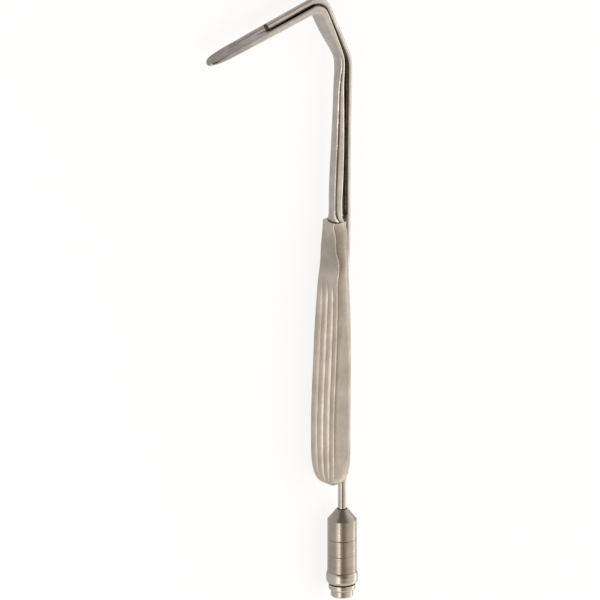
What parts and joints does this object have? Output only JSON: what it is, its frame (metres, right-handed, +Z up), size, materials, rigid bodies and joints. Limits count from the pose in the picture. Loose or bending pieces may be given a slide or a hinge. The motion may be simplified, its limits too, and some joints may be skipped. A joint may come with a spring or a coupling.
{
  "type": "lighted handheld surgical retractor",
  "caption": "Slim steel hand retractor: a narrow bent blade on a hollow fluted handle, with a fibre light guide along its back and a light cable connector at its foot.",
  "frame": {"origin": "on the light connector's axis, on the face that a light cable's socket seats against", "axes": "+X along the instrument from the connector to the blade, +Y the way the blade points and the fluted face of the handle looks, +Z up, square to the plane of the hook: the instrument lies on its side"},
  "size_m": [0.2371, 0.0708, 0.0138],
  "materials": {
    "satin_steel": "fine satin, beaded and lightly brushed",
    "brushed_steel": "brushed along the blade and bar",
    "tube_steel": "drawn tube, polished",
    "turned_steel": "fine turned finish",
    "seal_rubber": "matt black",
    "window_glass": "polished",
    "fibre_glass": "bundle ends ground and polished",
    "sheath_plastic": "plain sleeve",
    "ferrule_brass": "turned"
  },
  "bodies": {
    "root": {"end_adapter": "turned_steel", "adapter_seal": "seal_rubber", "bead_adapter": "turned_steel", "lower_sleeve": "turned_steel", "upper_sleeve": "turned_steel", "cone_cap": "turned_steel", "light_post": "turned_steel", "sleeve_seal": "seal_rubber", "cap_seal": "seal_rubber", "entry_window": "window_glass", "entry_ferrule": "ferrule_brass", "blade_and_shank": "brushed_steel", "handle_front_shell": "satin_steel", "handle_back_shell": "satin_steel", "light_tube": "tube_steel", "fibre_bundle": "fibre_glass", "fibre_sheath": "sheath_plastic", "exit_ferrule": "ferrule_brass"}
  },
  "joints": []
}
